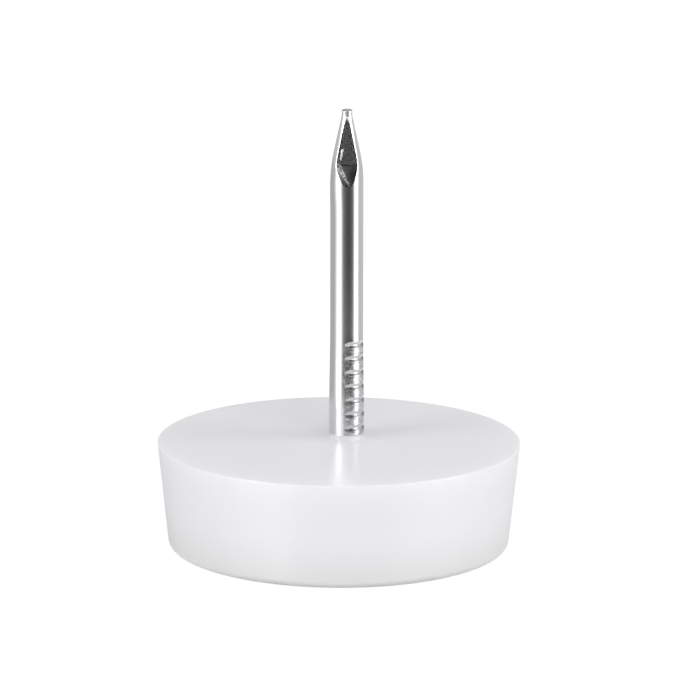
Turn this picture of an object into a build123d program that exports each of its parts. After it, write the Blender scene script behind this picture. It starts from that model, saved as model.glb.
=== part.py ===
"""Nail on furniture glide: a round plastic pad moulded round the head of a steel wire nail.

The origin is the centre of the glide face, which rests on the floor, and +Z points up along the nail.
All lengths are in millimetres and all angles in degrees.
"""
from build123d import *
from math import cos, radians, sin, tan
import os

# Pad: a disc that tapers towards the glide face, as it left its mould
pad_top_diameter = 22.0
pad_base_diameter = 20.6
pad_height = 6.5
pad_top_edge_radius = 0.14
pad_base_edge_radius = 0.5

# Collar: the low ring of plastic that stands round the nail on the pad's top face
collar_height = 0.3
collar_lip_width = 0.05
collar_foot_width = 0.14

# Gate: the shallow dimple in the glide face where the plastic was fed in, and the nub left in it
gate_dimple_diameter = 3.0
gate_dimple_depth = 0.3
gate_nub_diameter = 1.0
gate_nub_height = 0.16

# Nail: where its axis stands on the pad, how much plastic lies under its head, and its wire
nail_offset_x = 0.45
nail_offset_y = 1.0
head_cover = 1.35
nail_length = 25.4
wire_diameter = 2.0

# Head: flat, with a short cone that carries it into the shank
head_diameter = 4.8
head_thickness = 0.8
head_edge_chamfer = 0.15
neck_height = 0.45
neck_width = 0.45

# Swell: the dies that grip the wire upset it between the head and the last grip mark
swell = 0.06
swell_length = 7.2
swell_runout = 4.2

# Grip marks: V grooves that two half-round dies bite into opposite sides of the shank, one side deeper
grip_mark_count = 11
grip_mark_pitch = 0.861
grip_mark_half_angle = 60
grip_mark_start = 2.44
grip_mark_overcut = 0.05
deep_mark_azimuth = -42
deep_mark_depth = 0.12
deep_mark_half_arc = 56
shallow_mark_azimuth = 138
shallow_mark_depth = 0.06
shallow_mark_half_arc = 42

# Point: a rounded cone with two broad and two narrow flats, cut off blunt
tip_diameter = 0.66
tip_stub_length = 0.35
cone_length = 2.4
cone_half_angle = 13
cone_runout = 1.02
broad_flat_tip_width = 0.69
broad_flat_length = 2.95
broad_flat_angle = 7.6
broad_flat_runout = 1.5
narrow_flat_tip_width = 0.62
narrow_flat_length = 2.2
narrow_flat_angle = 12
narrow_flat_runout = 2.0
flat_overrun = 0.01

# Worked out from the driving dimensions
pad_top_radius = pad_top_diameter / 2
pad_base_radius = pad_base_diameter / 2
gate_dimple_radius = gate_dimple_diameter / 2
gate_nub_radius = gate_nub_diameter / 2
wire_radius = wire_diameter / 2
swelled_radius = wire_radius + swell
head_radius = head_diameter / 2
head_bottom = head_cover
head_top = head_bottom + head_thickness
neck_top = head_top + neck_height
swell_top = head_bottom + swell_length
shank_foot = swell_top + swell_runout
tip_radius = tip_diameter / 2
tip_height = head_bottom + nail_length
stub_foot = tip_height - tip_stub_length
cone_foot = stub_foot - cone_length
cone_foot_radius = tip_radius + cone_length * tan(radians(cone_half_angle))
shank_end = cone_foot - cone_runout


def upright_plane(x, y, azimuth):
    """An upright plane through (x, y), whose local x points along the azimuth and local y points up."""
    along = (cos(radians(azimuth)), sin(radians(azimuth)), 0)
    return Plane(origin=(x, y, 0), x_dir=along, z_dir=(along[1], -along[0], 0))


nail_axis = Axis((nail_offset_x, nail_offset_y, 0), (0, 0, 1))
nail_front_plane = upright_plane(nail_offset_x, nail_offset_y, 0)
nail_side_plane = upright_plane(nail_offset_x, nail_offset_y, 90)


def shank_radius(height):
    """The shank's radius, which shrinks from the swelled stretch to the bare wire."""
    above = min(max((height - swell_top) / swell_runout, 0), 1)
    return swelled_radius - swell * above


def cut_flats(plane, tip_width, length, angle, runout):
    """Cut two opposite flats on the point: straight from the tip's stub, then an arc that runs out."""
    tip_distance = tip_width / 2
    root_distance = tip_distance + length * tan(radians(angle))
    root_height = stub_foot - length
    outside = wire_diameter
    foot = (wire_radius + flat_overrun, root_height - runout)
    with BuildSketch(plane) as flats:
        with BuildLine():
            Polyline(
                (root_distance, root_height),
                (tip_distance, stub_foot),
                (tip_distance, tip_height + tip_stub_length),
                (outside, tip_height + tip_stub_length),
                (outside, root_height - runout),
                foot,
            )
            TangentArc(foot, (root_distance, root_height), tangent=(0, 1))
        make_face()
        mirror(about=Plane.YZ)
    extrude(flats.sketch, amount=wire_diameter, both=True, mode=Mode.SUBTRACT)


def cut_grip_marks(azimuth, depth, half_arc):
    """Cut one die's marks: V rings about an axis shifted away from the die, so each runs out round the wire."""
    shift = depth / (1 - cos(radians(half_arc)))
    ring_x = nail_offset_x - shift * cos(radians(azimuth))
    ring_y = nail_offset_y - shift * sin(radians(azimuth))
    reach = depth + grip_mark_overcut
    half_width = reach * tan(radians(grip_mark_half_angle))
    with BuildSketch(upright_plane(ring_x, ring_y, azimuth)) as grip_marks:
        for mark in range(grip_mark_count):
            height = head_bottom + grip_mark_start + mark * grip_mark_pitch
            root = shank_radius(height) + shift - depth
            with BuildLine():
                Polyline(
                    (root, height),
                    (root + reach, height - half_width),
                    (root + reach, height + half_width),
                    close=True,
                )
            make_face()
    revolve(grip_marks.sketch, axis=Axis((ring_x, ring_y, 0), (0, 0, 1)), mode=Mode.SUBTRACT)


# Nail: the head, neck, swell, shank, cone and blunt tip are one turned profile
with BuildPart() as nail:
    with BuildSketch(nail_front_plane) as nail_profile:
        with BuildLine():
            Polyline(
                (wire_radius, shank_end),
                (wire_radius, shank_foot),
                (swelled_radius, swell_top),
                (swelled_radius, neck_top),
                (swelled_radius + neck_width, head_top),
                (head_radius, head_top),
                (head_radius, head_bottom),
                (0, head_bottom),
                (0, tip_height),
                (tip_radius, tip_height),
                (tip_radius, stub_foot),
                (cone_foot_radius, cone_foot),
            )
            TangentArc((wire_radius, shank_end), (cone_foot_radius, cone_foot), tangent=(0, 1))
        make_face()
        chamfer(nail_profile.vertices().group_by(Axis.X)[-1], length=head_edge_chamfer)
    revolve(axis=nail_axis)

    # Point: the broad flats face front and back, the narrow ones left and right
    cut_flats(nail_side_plane, broad_flat_tip_width, broad_flat_length, broad_flat_angle, broad_flat_runout)
    cut_flats(nail_front_plane, narrow_flat_tip_width, narrow_flat_length, narrow_flat_angle,
              narrow_flat_runout)

    # Shank: one set of grip marks for each die
    cut_grip_marks(deep_mark_azimuth, deep_mark_depth, deep_mark_half_arc)
    cut_grip_marks(shallow_mark_azimuth, shallow_mark_depth, shallow_mark_half_arc)

nail.part.label = "nail"

# Pad: the tapered disc, its collar and its gate dimple, moulded round the nail without a gap
with BuildPart() as glide_pad:
    with BuildSketch(Plane.XZ) as pad_profile:
        with BuildLine():
            Polyline(
                (0, 0),
                (pad_base_radius, 0),
                (pad_top_radius, pad_height),
                (0, pad_height),
                close=True,
            )
        make_face()
        rim_corners = pad_profile.vertices().sort_by(Axis.X)[-2:].sort_by(Axis.Y)
        fillet(rim_corners[0], radius=pad_base_edge_radius)
        fillet(rim_corners[1], radius=pad_top_edge_radius)
    revolve(axis=Axis.Z)

    # Collar: its side is a hollow arc that starts upright at the lip and flares to the top face
    with BuildSketch(nail_front_plane):
        with BuildLine():
            collar_foot = (swelled_radius + collar_foot_width, pad_height)
            collar_lip = (swelled_radius + collar_lip_width, pad_height + collar_height)
            TangentArc(collar_lip, collar_foot, tangent=(0, -1))
            Polyline(
                collar_lip,
                (0, pad_height + collar_height),
                (0, pad_height - collar_height),
                (collar_foot[0], pad_height - collar_height),
                collar_foot,
            )
        make_face()
    revolve(axis=nail_axis)

    # Gate dimple: a shallow cone in the glide face round a nub that stays clear of the floor
    with BuildSketch(Plane.XZ):
        with BuildLine():
            Polyline(
                (0, 0),
                (gate_dimple_radius, 0),
                (gate_dimple_radius - gate_dimple_depth, gate_dimple_depth),
                (gate_nub_radius, gate_dimple_depth),
                (gate_nub_radius, gate_dimple_depth - gate_nub_height),
                (0, gate_dimple_depth - gate_nub_height),
                close=True,
            )
        make_face()
    revolve(axis=Axis.Z, mode=Mode.SUBTRACT)

    # Nail seat: the plastic takes the exact form of the nail, grip marks and all
    add(nail.part, mode=Mode.SUBTRACT)

glide_pad.part.label = "glide_pad"

os.makedirs("parts", exist_ok=True)
export_step(nail.part, "parts/nail.step")
export_step(glide_pad.part, "parts/glide_pad.step")
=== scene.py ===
"""Looks of a nail-on furniture glide: its moulded pad, its wire nail and a plain studio round them.

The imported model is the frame. The nail and the pad are rebuilt here as finer meshes in the same places,
because the grip marks, the cut point and the milky plastic carry the look of the object.
"""

import math

import bpy
import numpy as np
from bpy.props import FloatProperty, FloatVectorProperty, PointerProperty
from mathutils import Matrix, Vector, noise


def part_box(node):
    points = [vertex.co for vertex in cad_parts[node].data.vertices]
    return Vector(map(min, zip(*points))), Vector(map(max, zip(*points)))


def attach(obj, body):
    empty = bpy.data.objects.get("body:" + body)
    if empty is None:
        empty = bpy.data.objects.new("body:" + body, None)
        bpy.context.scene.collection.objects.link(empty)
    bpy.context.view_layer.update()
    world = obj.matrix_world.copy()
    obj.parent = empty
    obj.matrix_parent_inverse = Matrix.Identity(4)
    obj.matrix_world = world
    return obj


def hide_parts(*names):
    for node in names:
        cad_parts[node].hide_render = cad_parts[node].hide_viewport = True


bl_info = {
    "name": "Nail-on Furniture Glide",
    "version": (1, 0, 0),
    "blender": (4, 5, 0),
    "location": "View3D > Sidebar > Glide",
    "description": "Builds the finished pad and nail of a furniture glide round its packed model",
    "category": "Object",
}

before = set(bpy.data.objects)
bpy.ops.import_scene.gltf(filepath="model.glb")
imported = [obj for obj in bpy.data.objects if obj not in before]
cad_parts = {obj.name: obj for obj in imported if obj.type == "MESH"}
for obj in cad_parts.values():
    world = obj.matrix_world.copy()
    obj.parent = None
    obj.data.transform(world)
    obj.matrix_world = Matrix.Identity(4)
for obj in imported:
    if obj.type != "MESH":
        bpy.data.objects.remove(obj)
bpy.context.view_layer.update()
PAD_LOW, PAD_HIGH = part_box("glide_pad")
NAIL_LOW, NAIL_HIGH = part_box("nail")

MM = 0.001
BODY = "root"

# Both meshes have the same columns, so that the pad's bore follows the nail point by point
COLUMNS = 192
ANGLES = np.arange(COLUMNS) * 2 * math.pi / COLUMNS

# Places that the frame gives
NAIL_AXIS = (NAIL_LOW + NAIL_HIGH) / 2
HEAD_RADIUS = (NAIL_HIGH.x - NAIL_LOW.x) / 2
HEAD_BOTTOM = NAIL_LOW.z
TIP_HEIGHT = NAIL_HIGH.z
PAD_RADIUS = (PAD_HIGH.x - PAD_LOW.x) / 2


class NailSettings(bpy.types.PropertyGroup):
    """Sizes and finish of the wire nail."""

    wire_diameter: FloatProperty(
        name="Wire Diameter", description="Across the smooth shank", default=2.0 * MM, unit="LENGTH")
    swell: FloatProperty(
        name="Swell", description="How much the gripping dies upset the lower shank, on the radius",
        default=0.06 * MM, unit="LENGTH")
    mark_pitch: FloatProperty(
        name="Mark Pitch", description="From one grip mark to the next", default=0.861 * MM, unit="LENGTH")
    deep_mark: FloatProperty(
        name="Deep Mark", description="Depth of the marks of the die on the front right",
        default=0.12 * MM, unit="LENGTH")
    shallow_mark: FloatProperty(
        name="Shallow Mark", description="Depth of the marks of the die opposite",
        default=0.06 * MM, unit="LENGTH")
    steel_colour: FloatVectorProperty(
        name="Steel", description="Colour of the bright drawn wire", default=(0.72, 0.72, 0.73),
        subtype="COLOR", size=3, min=0, max=1)
    cut_colour: FloatVectorProperty(
        name="Cut Steel", description="Colour of the faces that the point cutters leave",
        default=(0.5, 0.5, 0.51), subtype="COLOR", size=3, min=0, max=1)
    wire_roughness: FloatProperty(
        name="Wire Roughness", description="Roughness of the drawn wire", default=0.13,
        min=0, max=1, subtype="FACTOR")
    land_roughness: FloatProperty(
        name="Land Roughness", description="Roughness where the dies gripped the wire", default=0.28,
        min=0, max=1, subtype="FACTOR")


class PadSettings(bpy.types.PropertyGroup):
    """Sizes and finish of the moulded pad."""

    base_diameter: FloatProperty(
        name="Base Diameter", description="Across the glide face, before its edge is rounded",
        default=20.6 * MM, unit="LENGTH")
    base_edge_radius: FloatProperty(
        name="Base Edge Radius", description="Rounding of the edge that meets the floor",
        default=0.5 * MM, unit="LENGTH")
    top_edge_radius: FloatProperty(
        name="Top Edge Radius", description="Rounding of the rim of the top face",
        default=0.08 * MM, unit="LENGTH")
    collar_height: FloatProperty(
        name="Collar Height", description="How far the collar stands out of the top face",
        default=0.3 * MM, unit="LENGTH")
    plastic_colour: FloatVectorProperty(
        name="Plastic", description="Colour of the milky polyethylene", default=(0.86, 0.855, 0.89),
        subtype="COLOR", size=3, min=0, max=1)
    plastic_roughness: FloatProperty(
        name="Plastic Roughness", description="Roughness of the moulded skin", default=0.31,
        min=0, max=1, subtype="FACTOR")
    milkiness: FloatProperty(
        name="Milkiness", description="Share of the light that travels inside the plastic",
        default=0.6, min=0, max=1, subtype="FACTOR")


class StudioSettings(bpy.types.PropertyGroup):
    """The camera, the floor and the light."""

    elevation: FloatProperty(
        name="Camera Elevation", description="Angle of the camera above the floor",
        default=math.radians(13.535), subtype="ANGLE", unit="ROTATION")
    roll: FloatProperty(
        name="Camera Roll", description="Tilt of the picture", default=math.radians(0.319),
        subtype="ANGLE", unit="ROTATION")
    distance: FloatProperty(
        name="Camera Distance", description="From the camera to the point it looks at",
        default=0.4, unit="LENGTH")
    floor_colour: FloatVectorProperty(
        name="Floor", description="Colour of the pale floor", default=(0.7, 0.7, 0.7),
        subtype="COLOR", size=3, min=0, max=1)
    fill: FloatProperty(
        name="Fill", description="Level of the soft light from all round", default=0.58, min=0, max=4)
    lamp: FloatProperty(
        name="Lamps", description="Brightness of the soft lamps", default=2.7, min=0, max=20)


# Shader maths as expressions
class Signal:
    """A value socket that takes Python arithmetic, where each operation adds its Math node."""

    def __init__(self, graph, socket):
        self.graph = graph
        self.socket = socket

    def math(self, operation, *values):
        """The result of a Math node."""
        return self.graph.node("ShaderNodeMath", {"operation": operation}, dict(enumerate(values)))

    def __add__(self, other):
        return self.math("ADD", self, other)

    def __radd__(self, other):
        return self.math("ADD", other, self)

    def __sub__(self, other):
        return self.math("SUBTRACT", self, other)

    def __rsub__(self, other):
        return self.math("SUBTRACT", other, self)

    def __mul__(self, other):
        return self.math("MULTIPLY", self, other)

    def __rmul__(self, other):
        return self.math("MULTIPLY", other, self)

    def __truediv__(self, other):
        return self.math("DIVIDE", self, other)

    def __neg__(self):
        return self.math("MULTIPLY", self, -1)

    def step(self, low, high):
        """0 below low, 1 above high and a smooth rise between them."""
        return self.graph.node("ShaderNodeMapRange", {"interpolation_type": "SMOOTHSTEP"},
                               {"Value": self, "From Min": low, "From Max": high})

    def between(self, low, high, soft):
        """1 from low to high with soft shoulders, and 0 outside them."""
        return self.step(low - soft, low + soft) * (1 - self.step(high - soft, high + soft))

    def toward(self, start, end):
        """start where this value is 0 and end where it is 1."""
        return start + (end - start) * self


class Graph:
    """A node tree that is filled through one method."""

    def __init__(self, tree):
        self.tree = tree
        tree.nodes.clear()

    def node(self, kind, settings=None, inputs=None, output=0):
        """Add a node, set its settings first and its sockets next, and return one of its outputs."""
        added = self.tree.nodes.new(kind)
        for name, value in (settings or {}).items():
            setattr(added, name, value)
        for name, value in (inputs or {}).items():
            if isinstance(value, Signal):
                self.tree.links.new(value.socket, added.inputs[name])
            else:
                added.inputs[name].default_value = value
        return Signal(self, added.outputs[output]) if len(added.outputs) else None

    def also(self, signal, output):
        """Another output of the node that a signal comes from."""
        return Signal(self, signal.socket.node.outputs[output])

    def mix(self, factor, first, second):
        """A colour between two colours."""
        return self.node("ShaderNodeMix", {"data_type": "RGBA"}, {0: factor, 6: first, 7: second}, output=2)

    def stretched(self, point, scale):
        """A vector scaled differently along each axis."""
        return self.node("ShaderNodeVectorMath", {"operation": "MULTIPLY"}, {0: point, 1: scale})

    def noise(self, point, scale, detail, roughness):
        """Noise at a point, from 0 to 1 and mostly near 0.5."""
        return self.node("ShaderNodeTexNoise", None,
                         {"Vector": point, "Scale": scale, "Detail": detail, "Roughness": roughness})

    def attribute(self, name):
        """A value that the mesh carries at its points."""
        return self.node("ShaderNodeAttribute", {"attribute_name": name}, output=2)

    def bump(self, height, distance, strength):
        """A normal that is tilted as if the surface had this relief."""
        return self.node("ShaderNodeBump", None,
                         {"Height": height, "Distance": distance, "Strength": strength})

    def rays(self):
        """Whether a ray comes from the camera, from a glossy surface or through a clear one."""
        camera = self.node("ShaderNodeLightPath", None, None, output="Is Camera Ray")
        return camera, self.also(camera, "Is Glossy Ray"), self.also(camera, "Is Transmission Ray")


def new_graph(name):
    """A new material and its emptied graph."""
    material = bpy.data.materials.new(name)
    material.use_nodes = True
    return material, Graph(material.node_tree)


def colour(value):
    """A colour with its alpha, as a socket takes it."""
    return (*value, 1.0)


# Meshes from rings
def ring(radius, height, centre=(0.0, 0.0)):
    """One ring of points; radius and height are numbers, or arrays with one value for each column."""
    points = np.empty((COLUMNS, 3))
    points[:, 0] = centre[0] + radius * np.cos(ANGLES)
    points[:, 1] = centre[1] + radius * np.sin(ANGLES)
    points[:, 2] = height
    return points


def closed_mesh(name, rings, first_centre, last_centre, sharp_angle):
    """A closed mesh through rings of points, with a fan over the first ring and one over the last."""
    rows = len(rings)
    points = np.concatenate([np.concatenate(rings), [first_centre, last_centre]])
    here = np.arange(COLUMNS)
    after = np.roll(here, -1)
    faces = []
    for row in range(rows - 1):
        low = row * COLUMNS
        high = low + COLUMNS
        faces += np.stack([low + here, low + after, high + after, high + here], axis=1).tolist()
    top = (rows - 1) * COLUMNS
    faces += [(rows * COLUMNS, int(b), int(a)) for a, b in zip(here, after)]
    faces += [(rows * COLUMNS + 1, int(top + a), int(top + b)) for a, b in zip(here, after)]
    mesh = bpy.data.meshes.new(name)
    mesh.from_pydata(points.tolist(), [], faces)
    mesh.shade_smooth()
    mesh.set_sharp_from_angle(angle=sharp_angle)
    mesh.update()
    piece = bpy.data.objects.new(name, mesh)
    bpy.context.scene.collection.objects.link(piece)
    return piece


def carry(piece, name, values):
    """Give the mesh a value at each point for its material to read; the two fan centres take 0."""
    data = np.zeros(len(piece.data.vertices), np.float32)
    data[:-2] = np.concatenate(values)
    piece.data.attributes.new(name, "FLOAT", "POINT").data.foreach_set("value", data)


def smooth_step(value, low, high):
    """0 below low, 1 above high and a smooth rise between them."""
    share = np.clip((value - low) / (high - low), 0, 1)
    return share * share * (3 - 2 * share)


def soft_min(first, second, blend):
    """The smaller of two surfaces, with the edge between them slightly rounded."""
    share = np.clip(0.5 + 0.5 * (second - first) / blend, 0, 1)
    return second * (1 - share) + first * share - blend * share * (1 - share)


def turned_from(azimuth):
    """How far each column is turned from an azimuth, at most half a turn either way."""
    return (ANGLES - azimuth + math.pi) % (2 * math.pi) - math.pi


def spots(heights, scale, seed):
    """Smooth noise on the nail's surface, one value for each column of each row."""
    values = np.empty((len(heights), COLUMNS))
    for row, height in enumerate(heights):
        for column, angle in enumerate(ANGLES):
            x = math.cos(angle) * MM * scale
            y = math.sin(angle) * MM * scale
            values[row, column] = noise.noise(Vector((x, y, height * scale + seed)))
    return values


# The nail's head, neck and swelled lower shank
HEAD_THICKNESS = 0.8 * MM
HEAD_CHAMFER = 0.15 * MM
NECK_HEIGHT = 0.45 * MM
NECK_WIDTH = 0.45 * MM
SWELL_TOP = HEAD_BOTTOM + 7.2 * MM
SWELL_RUNOUT = 4.2 * MM

# The grip marks; the rounding, the blend and the span are shares of a mark's depth or half width
MARK_COUNT = 11
MARK_START = HEAD_BOTTOM + 2.44 * MM
MARK_HALF_WIDTH = 0.19 * MM
MARK_ROOT_ROUNDING = 0.15
MARK_EDGE = 0.009 * MM
MARK_FADE = math.radians(20)
MARK_FADE_POWER = 0.7
FLANK_BLEND = 0.12
FLANK_SPAN = 0.2
DEEP_AZIMUTH = math.radians(-42)
DEEP_HALF_ARC = math.radians(57)
SHALLOW_AZIMUTH = math.radians(138)
SHALLOW_HALF_ARC = math.radians(44)

# Painted shade on the steel: just above the marks, with its offset and width measured in half widths of a
# mark, in the marks' lower flanks, lighter round one azimuth, and on the front of the lower shank
SHADE_ABOVE_MARK_OFFSET = 1.7
SHADE_ABOVE_MARK_WIDTH = 0.6
GROOVE_SHADE_MARGIN = 0.6
GROOVE_SHADE_BLEND = 0.7
LIGHTER_GROOVE_AZIMUTH = math.radians(-36)
LIGHTER_GROOVE_WIDTH = math.radians(24)
LIGHTER_GROOVE_SHARE = 0.75
SHADED_FRONT_AZIMUTH = math.radians(-82)
SHADED_FRONT_FULL = 9.3 * MM
SHADED_FRONT_TOP = 10.4 * MM
GRIP_FADE = 0.35 * MM

# How squarely a column has to face the deep marks' side, or the front with painted shade, to be part of it:
# it isn't up to the first value, and is in full from the second
GRIP_FACING = (0.735, 0.8)
SHADED_FRONT_FACING = (0.93, 0.975)

# Fine relief of the gripped steel and of the sheared tip, in millimetres, and its noise's scale and seed
MOTTLE_SCALE, MOTTLE_SEED = 4500, 3.1
DENT_SCALE, DENT_SEED = 9000, 8.4
MOTTLE_RELIEF = 0.0055
DENT_RELIEF = 0.003
SHEAR_RELIEF = 0.008

# The point, all of which lies above POINT_START
POINT_START = 20 * MM
TIP_RADIUS = 0.33 * MM
TIP_STUB = 0.35 * MM
TIP_ROUNDING = 0.07 * MM
TIP_DIP = 0.01 * MM
STUB_FOOT = TIP_HEIGHT - TIP_STUB
CONE_LENGTH = 2.4 * MM
CONE_ANGLE = math.radians(13)
CONE_RUNOUT = 1.02 * MM
FACE_EDGE = 0.012 * MM
FACE_REACH = 0.2
SMALL_LAND = 0.01 * MM
SKEW_START = 23.4 * MM
SKEW_END = 22.2 * MM
CUT_BLEND = 0.012 * MM
# Painted shade on the point's cut faces below this height, and the softness of its edge
CUT_SHADE_TOP = 23.5 * MM
CUT_SHADE_BLEND = 0.06 * MM
SHEAR_START = 26.2 * MM
SHEAR_FULL = 26.5 * MM
SHEAR_SHARE = 0.4
BULGE = 0.05 * MM
BULGE_HEIGHT = 22.1 * MM
BULGE_LENGTH = 0.9 * MM
NAIL_LEAN = -0.0037

# Torn metal on the front face: a fleck beside its left edge, given by the edge's top and slope, and a patch
# and a thin lip along its slanting foot, given by the foot's two ends. Its reliefs are in millimetres
EDGE_TOP = (-0.085 * MM, 26.12 * MM)
EDGE_SLOPE = -0.176
FLECK_INSET = 0.135 * MM
FLECK_WIDTH = 0.05 * MM
FLECK_LOW = 23.7 * MM
FLECK_HIGH = 24.45 * MM
FLECK_FADE = 0.15 * MM
FOOT_START = Vector((-0.58, 23.2)) * MM
FOOT_END = Vector((0.3, 22.05)) * MM
LIP_WIDTH = 0.03 * MM
LUMP_SCALE = (11000, 9000)
LUMP_SEED = 1.7
FLECK_RELIEF = 0.024
FLECK_LUMPS = 0.02
PATCH_RELIEF = 0.008
LIP_RELIEF = 0.003


class CutFace:
    """One flat of the point: straight from the stub down, then steeper until it runs out into the wire.

    Its skew moves the foot up on one side and down on the other.
    """

    def __init__(self, azimuth, tip_width, length, angle, runout, run_angle, skew=0.0):
        self.azimuth = azimuth
        self.tip_distance = tip_width / 2
        self.length = length
        self.angle = angle
        self.runout = runout
        self.run_angle = run_angle
        self.skew = skew

    def distance(self, height, wire_radius):
        """How far the flat lies from the nail's axis at a height."""
        root = STUB_FOOT - self.length
        root_distance = self.tip_distance + self.length * math.tan(self.angle)
        straight = self.tip_distance + np.clip(STUB_FOOT - height, 0, self.length) * math.tan(self.angle)
        below_root = np.clip(root - height, 0, self.runout)
        bend = wire_radius + SMALL_LAND - root_distance - self.runout * math.tan(self.run_angle)
        return straight + below_root * math.tan(self.run_angle) + bend * (below_root / self.runout) ** 2

    def radius(self, height, wire_radius):
        """The flat as a radius for each column, or a large one where it faces away."""
        facing = np.cos(ANGLES - self.azimuth)
        across = np.sin(ANGLES - self.azimuth) * wire_radius
        shifted = height + self.skew * across * smooth_step(-height, -SKEW_START, -SKEW_END)
        reach = self.distance(shifted, wire_radius)
        return np.where(facing > FACE_REACH, reach / np.clip(facing, FACE_REACH, None), 1.0)


BROAD_FLAT = {"tip_width": 0.69 * MM, "length": 2.95 * MM, "angle": math.radians(7.6),
              "runout": 1.3 * MM, "run_angle": math.radians(11.7)}
NARROW_FLAT = {"tip_width": 0.62 * MM, "length": 2.2 * MM, "angle": math.radians(12),
               "runout": 2.0 * MM, "run_angle": math.radians(12)}
POINT_FACES = (
    CutFace(math.radians(-90), skew=0.35, **BROAD_FLAT),
    CutFace(math.radians(90), skew=0.2, **BROAD_FLAT),
    CutFace(math.radians(0), **NARROW_FLAT),
    CutFace(math.radians(180), **NARROW_FLAT),
)


def shank_radius(settings, height):
    """The wire's radius, swelled where the dies gripped it and tapering in the point's cone."""
    wire = settings.wire_diameter / 2
    swelled = wire + settings.swell * (1 - np.clip((height - SWELL_TOP) / SWELL_RUNOUT, 0, 1))
    cone_foot = STUB_FOOT - CONE_LENGTH
    cone_foot_radius = TIP_RADIUS + CONE_LENGTH * math.tan(CONE_ANGLE)
    if height >= STUB_FOOT:
        return TIP_RADIUS
    if height >= cone_foot:
        return TIP_RADIUS + (STUB_FOOT - height) * math.tan(CONE_ANGLE)
    start = cone_foot - CONE_RUNOUT
    if height > start:
        share = (height - start) / CONE_RUNOUT
        return wire - (wire - cone_foot_radius) * share * share
    return swelled


def die_mark(settings, height, azimuth, depth, half_arc):
    """How deep one die's marks bite at a height for each column, which flank that is, and how much painted
    shade lies above it.

    The marks are V grooves with rounded roots, which grow narrow and shallow towards the ends of the die. The
    flank is 1 on the upper flank, which takes a painted highlight, and -1 on the lower one, which takes
    painted shade, or nearer 0 round one azimuth, where that painted shade is lighter. Painted shade also lies
    just above each mark.
    """
    mark = round((height - MARK_START) / settings.mark_pitch)
    mark = min(max(mark, 0), MARK_COUNT - 1)
    above = (height - MARK_START - mark * settings.mark_pitch) / MARK_HALF_WIDTH
    turned = np.abs(turned_from(azimuth))
    held = np.clip((half_arc - turned) / MARK_FADE, 0, 1) ** MARK_FADE_POWER
    bite = held - math.hypot(above, MARK_ROOT_ROUNDING)
    # Round one azimuth the lower flanks take less painted shade
    groove_shade_share = 1 - LIGHTER_GROOVE_SHARE * np.exp(-(turned_from(LIGHTER_GROOVE_AZIMUTH) / LIGHTER_GROOVE_WIDTH) ** 2)
    if above > 0:
        flank = np.clip(bite / FLANK_BLEND, 0, 1) * min(above / FLANK_SPAN, 1)
    else:
        flank = np.clip((bite + GROOVE_SHADE_MARGIN) / GROOVE_SHADE_BLEND, 0, 1) * groove_shade_share * max(above / FLANK_SPAN, -1)
        flank = flank * smooth_step(held, 0.05, 0.5)
    # Painted shade just above each mark
    shade_above = np.sqrt(held) * math.exp(-((abs(above) - SHADE_ABOVE_MARK_OFFSET) / SHADE_ABOVE_MARK_WIDTH) ** 2) * (above > 0)
    return np.maximum(depth * bite, -MARK_EDGE), flank, shade_above


def nail_surface(settings, height):
    """For each column at a height above the neck: its radius, its flank, how torn it is and how much painted
    shade lies above the marks.
    """
    wire = settings.wire_diameter / 2
    surface = np.full(COLUMNS, float(shank_radius(settings, height)))
    flank = np.zeros(COLUMNS)
    torn = np.zeros(COLUMNS)
    shaded_above_marks = np.zeros(COLUMNS)
    if height < MARK_START + MARK_COUNT * settings.mark_pitch:
        for azimuth, depth, half_arc in (
                (DEEP_AZIMUTH, settings.deep_mark, DEEP_HALF_ARC),
                (SHALLOW_AZIMUTH, settings.shallow_mark, SHALLOW_HALF_ARC)):
            bite, side, shade_above = die_mark(settings, height, azimuth, depth, half_arc)
            surface = soft_min(surface, surface - bite, MARK_EDGE)
            flank = flank + side
            shaded_above_marks = shaded_above_marks + shade_above
    if height > POINT_START:
        squeezed = math.exp(-((height - BULGE_HEIGHT) / BULGE_LENGTH) ** 2)
        surface += BULGE * squeezed * np.clip(-np.cos(ANGLES), 0, None) ** 2
        for face in POINT_FACES:
            surface = soft_min(surface, face.radius(height, wire), FACE_EDGE)
        raised, torn = torn_metal(surface * np.cos(ANGLES), height)
        surface = surface + raised
    return surface, flank, torn, shaded_above_marks


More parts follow.
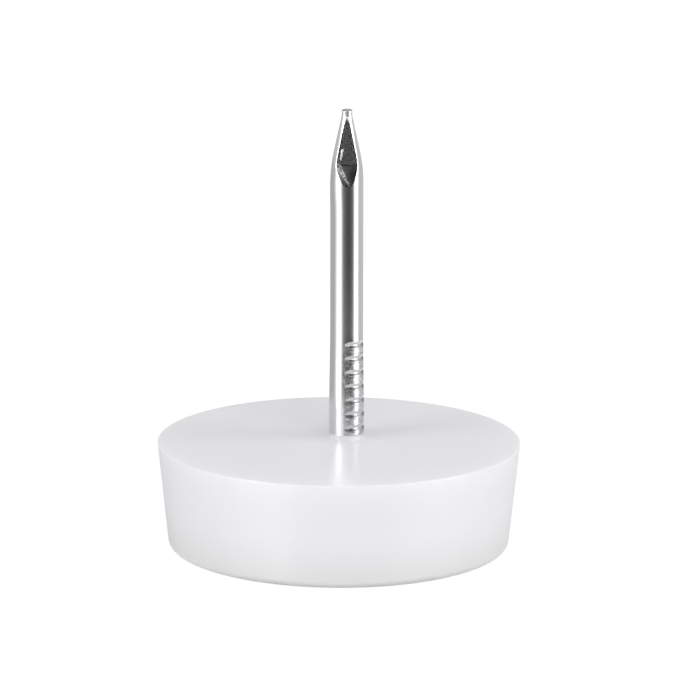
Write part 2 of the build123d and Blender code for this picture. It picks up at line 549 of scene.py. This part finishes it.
def torn_metal(across, height):
    """How far the torn metal on the front face stands out for each column at a height, and where it is."""
    facing = smooth_step(-np.sin(ANGLES), 0.1, 0.3)
    edge = EDGE_TOP[0] + (EDGE_TOP[1] - height) * EDGE_SLOPE
    fleck = np.exp(-((across - edge - FLECK_INSET) / FLECK_WIDTH) ** 2)
    fleck = fleck * smooth_step(height, FLECK_LOW, FLECK_LOW + FLECK_FADE)
    fleck = fleck * (1 - smooth_step(height, FLECK_HIGH - FLECK_FADE, FLECK_HIGH))

    foot = FOOT_END - FOOT_START
    length = foot.length
    right, down = foot / length
    along = ((across - FOOT_START.x) * right + (height - FOOT_START.y) * down) / length
    above = (height - FOOT_START.y) * right - (across - FOOT_START.x) * down
    left = np.clip(1.05 - along, 0.01, 1.2)
    patch = smooth_step(above, 0.0, 0.05 * MM) * (1 - smooth_step(above, 0.26 * MM * left, 0.34 * MM * left))
    patch = patch * smooth_step(along, -0.25, -0.1) * (1 - smooth_step(along, 0.6, 0.8))
    lip = np.exp(-(above / LIP_WIDTH) ** 2)
    lip = lip * smooth_step(along, 0.2, 0.4) * (1 - smooth_step(along, 0.98, 1.05))
    lump_height = height * LUMP_SCALE[1]
    lumps = np.array([noise.noise(Vector((x * LUMP_SCALE[0], lump_height, LUMP_SEED))) for x in across])
    raised = fleck * (FLECK_RELIEF + FLECK_LUMPS * lumps) + patch * lumps * PATCH_RELIEF + lip * LIP_RELIEF
    torn = np.clip(fleck + patch * (0.4 + 0.8 * lumps) + lip * 0.15, 0, 1)
    return raised * MM * facing, torn * facing


def heights_between(start, end, step):
    """Even heights from start up to just below end, about a step apart."""
    count = max(int(round((end - start) / step)), 1)
    return list(np.linspace(start, end, count, endpoint=False))


def nail_heights(settings):
    """Row heights from the neck to the tip: close where the marks and the point are, wide between."""
    neck_top = HEAD_BOTTOM + HEAD_THICKNESS + NECK_HEIGHT
    pad_top = PAD_HIGH.z
    marks_top = MARK_START + (MARK_COUNT - 1) * settings.mark_pitch + 0.45 * MM
    point_foot = 21.8 * MM
    return (heights_between(neck_top, pad_top, 0.12 * MM)
            + heights_between(pad_top, marks_top, 0.033 * MM)
            + heights_between(marks_top, point_foot, 0.35 * MM)
            + heights_between(point_foot, TIP_HEIGHT - TIP_ROUNDING, 0.034 * MM))


def head_rings(settings, grow=0.0):
    """The head and the neck, from the underside up; grow makes them larger, for the cavity round them."""
    axis = (NAIL_AXIS.x, NAIL_AXIS.y)
    head_top = HEAD_BOTTOM + HEAD_THICKNESS
    swelled = settings.wire_diameter / 2 + settings.swell
    profile = (
        (HEAD_RADIUS - HEAD_CHAMFER, HEAD_BOTTOM - grow),
        (HEAD_RADIUS + grow, HEAD_BOTTOM + HEAD_CHAMFER),
        (HEAD_RADIUS + grow, head_top - HEAD_CHAMFER),
        (HEAD_RADIUS - HEAD_CHAMFER, head_top + grow),
        (swelled + NECK_WIDTH, head_top + grow),
    )
    return [ring(radius, height, axis) for radius, height in profile]


def build_nail(settings):
    """The nail's mesh, with the values that its material reads."""
    axis = (NAIL_AXIS.x, NAIL_AXIS.y)
    heights = nail_heights(settings)
    rows = [nail_surface(settings, height) for height in heights]
    surfaces, flank, torn, shaded_above_marks = (np.array(values) for values in zip(*rows))
    plain = np.array([np.full(COLUMNS, float(shank_radius(settings, height))) for height in heights])
    tall = np.array(heights)[:, None] * np.ones(COLUMNS)

    marks_top = MARK_START + (MARK_COUNT - 1) * settings.mark_pitch
    facing = 0.5 + 0.5 * np.cos(ANGLES - DEEP_AZIMUTH)
    gripped = smooth_step(facing, *GRIP_FACING) * (1 - smooth_step(tall, marks_top, marks_top + GRIP_FADE))
    cut = smooth_step(plain - surfaces, 0.0, CUT_BLEND) * (tall > POINT_START)
    # Painted shade on the lower part of the cut faces
    cut_shaded = cut * (1 - smooth_step(tall, CUT_SHADE_TOP - CUT_SHADE_BLEND, CUT_SHADE_TOP + CUT_SHADE_BLEND))
    sheared = smooth_step(tall, SHEAR_START, SHEAR_FULL)
    torn = np.maximum(torn, sheared * SHEAR_SHARE)
    # Painted shade on the front of the lower shank, fading out higher up; the painted shade above the marks
    # lies on that front only
    front = smooth_step(np.cos(ANGLES - SHADED_FRONT_AZIMUTH), *SHADED_FRONT_FACING)
    front_shade = front * (1 - smooth_step(tall, SHADED_FRONT_FULL, SHADED_FRONT_TOP))
    shaded_above_marks = shaded_above_marks * front

    mottle = spots(heights, MOTTLE_SCALE, MOTTLE_SEED)
    dents = spots(heights, DENT_SCALE, DENT_SEED)
    relief = mottle * MOTTLE_RELIEF + dents * DENT_RELIEF
    surfaces = surfaces + relief * MM * gripped * (1 - 0.5 * np.abs(flank))
    surfaces = surfaces + mottle * SHEAR_RELIEF * MM * sheared
    rings = head_rings(settings)
    hidden = len(rings)
    rings += [ring(surface, height, axis) for surface, height in zip(surfaces, heights)]

    edge = surfaces[-1]
    round_steps = 6
    for step in range(1, round_steps + 1):
        turn = math.radians(90) * step / round_steps
        rings.append(ring(edge - TIP_ROUNDING * (1 - math.cos(turn)),
                          TIP_HEIGHT - TIP_ROUNDING * (1 - math.sin(turn)), axis))
    for share in (0.7, 0.4):
        rings.append(ring((edge - TIP_ROUNDING) * share, TIP_HEIGHT - TIP_DIP, axis))
    capped = len(rings) - hidden - len(heights)

    for points in rings:
        points[:, 0] += NAIL_LEAN * np.clip(points[:, 2] - PAD_HIGH.z, 0, None)
    tip_x = axis[0] + NAIL_LEAN * (TIP_HEIGHT - PAD_HIGH.z)
    nail = closed_mesh("wire_nail", rings, (*axis, HEAD_BOTTOM),
                       (tip_x, axis[1], TIP_HEIGHT - TIP_DIP), math.radians(50))
    blank = np.zeros(COLUMNS)
    for name, values, at_cap in (
            ("gripped", gripped, 0), ("cut", cut, 1), ("torn", torn, SHEAR_SHARE), ("flank", flank, 0),
            ("shaded_above_marks", shaded_above_marks, 0), ("front_shade", front_shade, 0), ("cut_shaded", cut_shaded, 0)):
        carry(nail, name, [blank] * hidden + list(values) + [blank + at_cap] * capped)
    return nail


# Tones that the drawn lines, the smears, the point and painted light lay over the bright steel: painted shade
# in the marks' lower flanks, above the marks, on the front of the lower shank and on the lower cut faces, and
# a painted highlight on the marks' upper flanks
LINE_TONE = (0.34, 0.34, 0.36, 1.0)
SMEAR_TONE = (0.3, 0.3, 0.31, 1.0)
SHADE_ABOVE_MARK_TONE = (0.22, 0.22, 0.23, 1.0)
FRONT_SHADE_TONE = (0.36, 0.36, 0.37, 1.0)
LOWER_FLANK_SHADE_TONE = (0.1, 0.1, 0.1, 1.0)
UPPER_FLANK_HIGHLIGHT_TONE = (0.86, 0.86, 0.87, 1.0)
CUT_SPOT_TONE = (0.36, 0.36, 0.37, 1.0)
CUT_SHADE_TONE = (0.08, 0.08, 0.08, 1.0)
TORN_TONE = (0.48, 0.48, 0.49, 1.0)
CUT_ROUGHNESS = 0.19
TORN_ROUGHNESS = 0.55


def steel_material(settings):
    """Bright drawn wire: fine lines along it, duller where the dies gripped it, darker where it was cut, with
    painted shade in and above the grip marks, on the front of the lower shank and on the lower cut faces, and
    a painted highlight on the marks' upper flanks.
    """
    material, graph = new_graph("nail_steel")
    place = graph.node("ShaderNodeTexCoord", None, None, output="Object")
    height = graph.node("ShaderNodeSeparateXYZ", None, {0: place}, output=2)
    gripped = graph.attribute("gripped")
    cut = graph.attribute("cut")
    torn = graph.attribute("torn")
    flank = graph.attribute("flank")
    shaded_above_marks = graph.attribute("shaded_above_marks")
    front_shade = graph.attribute("front_shade")
    cut_shaded = graph.attribute("cut_shaded")
    # Which flank of a mark takes painted shade and which takes a painted highlight
    lower_flank_shade = (-flank).step(0.0, 0.9)
    upper_flank_highlight = flank.step(0.0, 0.9)
    lines = graph.noise(graph.stretched(place, (9000.0, 9000.0, 60.0)), 1.0, 3.0, 0.6)
    broad = graph.noise(graph.stretched(place, (2500.0, 2500.0, 90.0)), 1.0, 2.0, 0.5)
    mottle = graph.noise(place, 6500.0, 4.0, 0.62)
    smears = graph.noise(graph.stretched(place, (2600.0, 2600.0, 7500.0)), 1.0, 4.0, 0.65)
    streak = (lines - 0.5) * 0.5 + (broad - 0.5)
    base = graph.mix(cut, colour(settings.steel_colour), colour(settings.cut_colour))
    base = graph.mix(streak.step(0.02, 0.34) * 0.22, base, LINE_TONE)
    base = graph.mix(smears.step(0.42, 0.62) * gripped * 0.45, base, SMEAR_TONE)
    # Painted shade just above the marks, in patches
    base = graph.mix(shaded_above_marks * smears.step(0.3, 0.6) * 0.5, base, SHADE_ABOVE_MARK_TONE)
    # Painted shade on the front of the lower shank
    base = graph.mix(front_shade * smears.step(0.1, 0.7).toward(0.55, 0.9), base, FRONT_SHADE_TONE)
    # Painted shade on the marks' lower flanks
    base = graph.mix(lower_flank_shade * 0.85, base, LOWER_FLANK_SHADE_TONE)
    # Painted highlight on the marks' upper flanks
    base = graph.mix(upper_flank_highlight * 0.9, base, UPPER_FLANK_HIGHLIGHT_TONE)
    base = graph.mix(cut * mottle.step(0.4, 0.7) * 0.3, base, CUT_SPOT_TONE)
    # Painted shade on the lower part of the cut faces
    base = graph.mix(cut_shaded, base, CUT_SHADE_TONE)
    base = graph.mix(torn * mottle.step(0.2, 0.6), base, TORN_TONE)
    worn = 1 - height.step(12.5 * MM, 21.0 * MM)
    narrowing = height.step(22.0 * MM, 23.0 * MM)
    roughness = settings.wire_roughness + streak * 0.08 + worn * 0.07 + narrowing * 0.06
    roughness = gripped.toward(roughness, settings.land_roughness + (mottle - 0.5) * 0.2)
    roughness = cut.toward(roughness, CUT_ROUGHNESS)
    roughness = torn.toward(roughness, TORN_ROUGHNESS)
    relief = streak * (1 - gripped) * 0.25 + (mottle - 0.5) * gripped
    normal = graph.bump(relief, 0.006 * MM, 0.6)
    shader = graph.node("ShaderNodeBsdfPrincipled", None, {
        "Base Color": base, "Metallic": 1.0, "Roughness": roughness, "Normal": normal})
    graph.node("ShaderNodeOutputMaterial", None, {"Surface": shader})
    return material


# The pad's form
COLLAR_LIP = 0.05 * MM
COLLAR_FOOT = 0.14 * MM
BORE_CLEARANCE = 0.004 * MM
GATE_RADIUS = 1.5 * MM
GATE_DEPTH = 0.3 * MM
GATE_NUB_RADIUS = 0.5 * MM
GATE_NUB_HEIGHT = 0.16 * MM
LIP_ROUNDING = 0.02 * MM
LIP_DROP = 0.012 * MM
TOP_RINGS = 16
COLLAR_STEPS = 8

# The plastic: its clouds, painted shade that makes it darker and warmer towards the bottom, and how light
# travels in it
CLOUD_TONE = (0.9, 0.9, 0.92, 1.0)
LOW_SHADE_TONE = (0.76, 0.76, 0.75, 1.0)
LOW_SHADE_TOP = 3.5 * MM
MILK_SCALE = 1.5 * MM
MILK_RADIUS = (1.0, 0.95, 0.9)
COLLAR_MILK = 0.62


def rounded_corner(before, corner, after, radius, steps):
    """Points along the arc that rounds a corner of the pad's profile."""
    before, corner, after = Vector(before), Vector(corner), Vector(after)
    back = (before - corner).normalized()
    on = (after - corner).normalized()
    half = back.angle(on) / 2
    centre = corner + (back + on).normalized() * radius / math.sin(half)
    start = corner + back * radius / math.tan(half) - centre
    end = corner + on * radius / math.tan(half) - centre
    turn = start.angle(end)
    points = []
    for step in range(steps + 1):
        share = step / steps
        first = math.sin((1 - share) * turn) / math.sin(turn)
        second = math.sin(share * turn) / math.sin(turn)
        points.append(centre + start * first + end * second)
    return points


def between(start, end, count):
    """Points strictly between two points of the profile."""
    start, end = Vector(start), Vector(end)
    return [start.lerp(end, step / (count + 1)) for step in range(1, count + 1)]


def build_pad(settings, nail_settings):
    """The pad's mesh: gate dimple, glide face, side, top face, collar, and the bore round the nail."""
    axis = Vector((NAIL_AXIS.x, NAIL_AXIS.y))
    top = PAD_HIGH.z - settings.collar_height
    base_radius = settings.base_diameter / 2
    swelled = nail_settings.wire_diameter / 2 + nail_settings.swell

    gate = [(GATE_NUB_RADIUS, GATE_DEPTH - GATE_NUB_HEIGHT), (GATE_NUB_RADIUS, GATE_DEPTH),
            (GATE_RADIUS - GATE_DEPTH, GATE_DEPTH), (GATE_RADIUS, 0.0)]
    base_edge = rounded_corner((0, 0), (base_radius, 0), (PAD_RADIUS, top), settings.base_edge_radius, 10)
    top_edge = rounded_corner((base_radius, 0), (PAD_RADIUS, top), (0, top), settings.top_edge_radius, 8)
    profile = (gate + between(gate[-1], base_edge[0], 5) + base_edge
               + between(base_edge[-1], top_edge[0], 24) + top_edge)
    rings = [ring(radius, height) for radius, height in profile]

    foot_radius = swelled + COLLAR_FOOT
    lip_radius = swelled + COLLAR_LIP
    rim_radius = profile[-1][0]
    for step in range(1, TOP_RINGS + 1):
        share = step / TOP_RINGS
        rings.append(ring(rim_radius + (foot_radius - rim_radius) * share, top, axis * share))
    width = foot_radius - lip_radius
    height = settings.collar_height
    flare = (width * width + height * height) / (2 * width)
    lip_height = PAD_HIGH.z
    for step in range(COLLAR_STEPS - 1, 0, -1):
        turn = 2 * math.atan2(width, height) * step / COLLAR_STEPS
        radius = lip_radius + flare * (1 - math.cos(turn))
        rings.append(ring(radius, lip_height - flare * math.sin(turn), axis))
    rings.append(ring(lip_radius, lip_height - LIP_DROP, axis))
    rings.append(ring(lip_radius - LIP_ROUNDING, lip_height, axis))
    bore = [height for height in nail_heights(nail_settings) if height < lip_height - LIP_ROUNDING]
    for height in [lip_height] + bore[::-1]:
        rings.append(ring(nail_surface(nail_settings, height)[0] + BORE_CLEARANCE, height, axis))
    rings += reversed(head_rings(nail_settings, BORE_CLEARANCE))
    nub_centre = (0, 0, GATE_DEPTH - GATE_NUB_HEIGHT)
    cavity_centre = (*axis, HEAD_BOTTOM - BORE_CLEARANCE)
    return closed_mesh("moulded_pad", rings, nub_centre, cavity_centre, math.radians(40))


def plastic_material(settings):
    """Milky polyethylene with a soft uneven gloss and painted shade towards the bottom: light travels inside
    it, less so in the thin collar.
    """
    material, graph = new_graph("pad_plastic")
    place = graph.node("ShaderNodeTexCoord", None, None, output="Object")
    cloud = graph.noise(place, 260.0, 3.0, 0.5)
    skin = graph.noise(place, 2200.0, 4.0, 0.6)
    height = graph.node("ShaderNodeSeparateXYZ", None, {0: place}, output=2)
    # Painted shade: the plastic is painted darker and warmer towards the bottom
    low = 1 - height.step(0.0, LOW_SHADE_TOP)
    base = graph.mix((cloud - 0.35) * 0.25, colour(settings.plastic_colour), CLOUD_TONE)
    base = graph.mix(low * 0.75, base, LOW_SHADE_TONE)
    roughness = settings.plastic_roughness + (skin - 0.5) * 0.05 + (cloud - 0.5) * 0.03
    normal = graph.bump(cloud, 0.02 * MM, 0.5)
    skin_finish = {"Base Color": base, "Roughness": roughness, "IOR": 1.51, "Normal": normal}
    milky = graph.node("ShaderNodeBsdfPrincipled", None, {
        **skin_finish, "Subsurface Weight": settings.milkiness, "Subsurface Radius": MILK_RADIUS,
        "Subsurface Scale": MILK_SCALE})
    solid = graph.node("ShaderNodeBsdfPrincipled", None, skin_finish)
    offset = graph.node("ShaderNodeVectorMath", {"operation": "SUBTRACT"},
                        {0: place, 1: (NAIL_AXIS.x, NAIL_AXIS.y, 0.0)})
    from_nail = graph.node("ShaderNodeVectorMath", {"operation": "LENGTH"},
                           {0: graph.stretched(offset, (1.0, 1.0, 0.0))}, output=1)
    shader = graph.node("ShaderNodeMixShader", None, {
        0: from_nail.step(1.2 * MM, 1.7 * MM).toward(COLLAR_MILK, 1.0), 1: solid, 2: milky})
    graph.node("ShaderNodeOutputMaterial", None, {"Surface": shader})
    return material


# The studio
CAMERA_TARGET = Vector((0.639, 0.0, 12.143)) * MM
CAMERA_LENS = 340.5
SENSOR_WIDTH = 36.0
FLOOR_RADIUS = 0.7
FLOOR_GLOW = 0.75
FLOOR_GLOW_LEVEL = 1.2
# Each lamp: its azimuth from the camera's side, its elevation, distance, width and height, and its share
LAMPS = (
    ("lamp_key", math.radians(24), math.radians(38), 0.14, 0.09, 0.09, 0.71),
    ("lamp_right", math.radians(82), math.radians(26), 0.40, 0.20, 0.34, 0.82),
    ("lamp_left", math.radians(-62), math.radians(22), 0.40, 0.20, 0.34, 1.05),
)


def place_camera(settings):
    """The camera, aimed at the target from the front and slightly above, with its small roll."""
    elevation, roll = settings.elevation, settings.roll
    back = Vector((0, -math.cos(elevation), math.sin(elevation)))
    level = Vector((1, 0, 0))
    upward = Vector((0, math.sin(elevation), math.cos(elevation)))
    right = math.cos(roll) * level + math.sin(roll) * upward
    up = math.cos(roll) * upward - math.sin(roll) * level
    matrix = Matrix((right, up, back)).transposed().to_4x4()
    matrix.translation = CAMERA_TARGET + back * settings.distance
    data = bpy.data.cameras.new("camera")
    data.lens = CAMERA_LENS
    data.sensor_width = SENSOR_WIDTH
    data.clip_start = 0.01
    data.clip_end = 10
    camera = bpy.data.objects.new("camera", data)
    camera.matrix_world = matrix
    bpy.context.scene.collection.objects.link(camera)
    bpy.context.scene.camera = camera


def floor_material(settings):
    """A pale floor that reads white to the eye and still takes the object's soft shadow."""
    material, graph = new_graph("studio_floor")
    camera, glossy, through = graph.rays()
    seen = camera.math("MINIMUM", camera + glossy + through, 1.0)
    matt = graph.node("ShaderNodeBsdfDiffuse", None, {"Color": colour(settings.floor_colour)})
    glow = graph.node("ShaderNodeEmission", None, {"Color": (1, 1, 1, 1), "Strength": FLOOR_GLOW_LEVEL})
    shader = graph.node("ShaderNodeMixShader", None, {0: seen * FLOOR_GLOW, 1: matt, 2: glow})
    graph.node("ShaderNodeOutputMaterial", None, {"Surface": shader})
    return material


def build_floor(settings):
    """A round sheet of floor that reaches beyond the picture."""
    sides = 96
    points = [(0.0, 0.0, 0.0)]
    for side in range(sides):
        angle = 2 * math.pi * side / sides
        points.append((FLOOR_RADIUS * math.cos(angle), FLOOR_RADIUS * math.sin(angle), 0.0))
    faces = [(0, side + 1, (side + 1) % sides + 1) for side in range(sides)]
    mesh = bpy.data.meshes.new("studio_floor")
    mesh.from_pydata(points, [], faces)
    floor = bpy.data.objects.new("studio_floor", mesh)
    bpy.context.scene.collection.objects.link(floor)
    mesh.materials.append(floor_material(settings))
    floor.visible_glossy = False


# The room that reflections see: levels of its parts, which light_studio places
BOX_LOW_LEVEL = 3.6
BOX_HIGH_LEVEL = 7.0
GLOW_LEVEL = 0.55
GAP_LEVEL = 0.08
GAP_RISE = 0.12
GAP_TOP_LEVEL = 0.047
BACK_LEFT_LEVEL = 0.53
BACK_RIGHT_LEVEL = 0.7
BACK_TOP_LEVEL = 0.72
PANEL_LEVEL = 7.2
CEILING_LEVEL = 0.7
CEILING_DARK_LEVEL = 0.1
CEILING_RIGHT_LEVEL = 1.5
GROUND_LEVEL = 1.05
GROUND_FRONT_LEVEL = 0.7
STRIP_LEFT_LEVEL = 4.0
STRIP_RIGHT_LEVEL = 3.0
# Soft light on matt surfaces, as shares of the fill at the floor's level and overhead
FILL_LOW = 1.15
FILL_HIGH = 0.67


def light_studio(settings):
    """The room as reflections see it, and soft plain light for the rest.

    Reflections see two tall white boxes at the sides, a dark gap between them, a bright panel above the gap,
    a grey room behind and a light ground. Azimuths run from the camera's side, positive to the right, and
    elevations up from the floor, both in degrees.
    """
    world = bpy.data.worlds.new("studio")
    bpy.context.scene.world = world
    world.use_nodes = True
    graph = Graph(world.node_tree)
    way = graph.node("ShaderNodeTexCoord", None, None, output="Generated")
    x = graph.node("ShaderNodeSeparateXYZ", None, {0: way}, output=0)
    y = graph.also(x, 1)
    z = graph.also(x, 2)
    degrees = 180 / math.pi
    side = x.math("ARCTAN2", x, -y) * degrees
    rise = z.math("ARCSINE", z) * degrees

    boxes = side.between(-66, -45, 3) + side.between(62, 79, 3)
    box_level = rise.step(-24, -17) * rise.step(-4, 6).toward(BOX_LOW_LEVEL, BOX_HIGH_LEVEL)
    glow = side.between(-84, -31, 8) + side.between(50, 88, 8)
    off_centre = (side - 12) / 30
    gap_level = GAP_LEVEL + GAP_RISE * off_centre * off_centre
    gap_level = rise.step(-8, -2).toward(gap_level, GAP_TOP_LEVEL)
    back_level = side.step(-170, 170).toward(BACK_LEFT_LEVEL, BACK_RIGHT_LEVEL)
    back_level = rise.step(-6, 6).toward(back_level, BACK_TOP_LEVEL)
    band = side.between(-34, 49, 8).toward(back_level, gap_level)
    band = band + glow * GLOW_LEVEL + boxes * box_level
    panel = side.between(-58, 64, 8) * rise.between(16, 24, 3)
    band = panel.toward(band, PANEL_LEVEL)

    overhead = rise.step(28, 36)
    overhead_level = side.between(52, 104, 8).toward(CEILING_DARK_LEVEL, CEILING_RIGHT_LEVEL)
    overhead_level = overhead_level * (1 - rise.step(50, 58)) + rise.step(50, 60) * CEILING_LEVEL
    strips = side.between(-45, -36, 3) * STRIP_LEFT_LEVEL + side.between(43, 56, 3) * STRIP_RIGHT_LEVEL
    ground = 1 - rise.step(-27, -19)
    ground_level = strips * rise.between(-42, -22, 4)
    ground_level = ground_level + side.between(-30, 36, 10) * GROUND_FRONT_LEVEL + GROUND_LEVEL
    room = overhead.toward(band, overhead_level)
    room = ground.toward(room, ground_level)
    fill = settings.fill * rise.step(0, 80).toward(FILL_LOW, FILL_HIGH)

    camera, glossy, through = graph.rays()
    level = glossy.toward(fill, room)
    level = through.toward(level, 1.0)
    level = camera.toward(level, 1.0)
    shader = graph.node("ShaderNodeBackground", None, {"Color": (1, 1, 1, 1), "Strength": level})
    graph.node("ShaderNodeOutputWorld", None, {"Surface": shader})


def place_lamps(settings):
    """A near soft key lamp and two tall soft lamps, all in front of the object."""
    for name, azimuth, elevation, distance, width, height, share in LAMPS:
        data = bpy.data.lights.new(name, "AREA")
        data.shape = "RECTANGLE"
        data.size = width
        data.size_y = height
        data.energy = settings.lamp * share * math.pi * width * height
        lamp = bpy.data.objects.new(name, data)
        towards = Vector((math.sin(azimuth) * math.cos(elevation), -math.cos(azimuth) * math.cos(elevation),
                          math.sin(elevation)))
        lamp.location = towards * distance
        lamp.rotation_euler = towards.to_track_quat("Z", "Y").to_euler()
        lamp.visible_glossy = False
        lamp.visible_camera = False
        bpy.context.scene.collection.objects.link(lamp)


def dress(piece, material, node):
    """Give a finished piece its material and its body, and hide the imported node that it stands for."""
    piece.data.materials.append(material)
    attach(piece, BODY)
    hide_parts(node)


class GLIDE_OT_build_nail(bpy.types.Operator):
    """Build the wire nail with its cut point and its grip marks"""

    bl_idname = "glide.build_nail"
    bl_label = "Build Nail"

    def execute(self, context):
        settings = context.scene.glide_nail
        dress(build_nail(settings), steel_material(settings), "nail")
        return {"FINISHED"}


class GLIDE_OT_build_pad(bpy.types.Operator):
    """Build the moulded pad with its collar and the bore round the nail"""

    bl_idname = "glide.build_pad"
    bl_label = "Build Pad"

    def execute(self, context):
        settings = context.scene.glide_pad
        pad = build_pad(settings, context.scene.glide_nail)
        dress(pad, plastic_material(settings), "glide_pad")
        return {"FINISHED"}


class GLIDE_OT_set_stage(bpy.types.Operator):
    """Set the camera, the pale floor and the soft studio light"""

    bl_idname = "glide.set_stage"
    bl_label = "Set Stage"

    def execute(self, context):
        settings = context.scene.glide_studio
        context.scene.view_settings.view_transform = "Standard"
        place_camera(settings)
        build_floor(settings)
        light_studio(settings)
        place_lamps(settings)
        return {"FINISHED"}


class GLIDE_PT_sidebar(bpy.types.Panel):
    """Lists the steps that build the glide"""

    bl_label = "Furniture Glide"
    bl_space_type = "VIEW_3D"
    bl_region_type = "UI"
    bl_category = "Glide"

    def draw(self, context):
        column = self.layout.column()
        for operator in (GLIDE_OT_build_nail, GLIDE_OT_build_pad, GLIDE_OT_set_stage):
            column.operator(operator.bl_idname)


CLASSES = (NailSettings, PadSettings, StudioSettings, GLIDE_OT_build_nail, GLIDE_OT_build_pad,
           GLIDE_OT_set_stage, GLIDE_PT_sidebar)


def register():
    for each in CLASSES:
        bpy.utils.register_class(each)
    bpy.types.Scene.glide_nail = PointerProperty(type=NailSettings)
    bpy.types.Scene.glide_pad = PointerProperty(type=PadSettings)
    bpy.types.Scene.glide_studio = PointerProperty(type=StudioSettings)


def unregister():
    del bpy.types.Scene.glide_studio
    del bpy.types.Scene.glide_pad
    del bpy.types.Scene.glide_nail
    for each in reversed(CLASSES):
        bpy.utils.unregister_class(each)


def main():
    """Build every piece and the stage."""
    register()
    bpy.ops.glide.build_nail()
    bpy.ops.glide.build_pad()
    bpy.ops.glide.set_stage()
    bpy.context.view_layer.update()


if __name__ == "__main__":
    main()
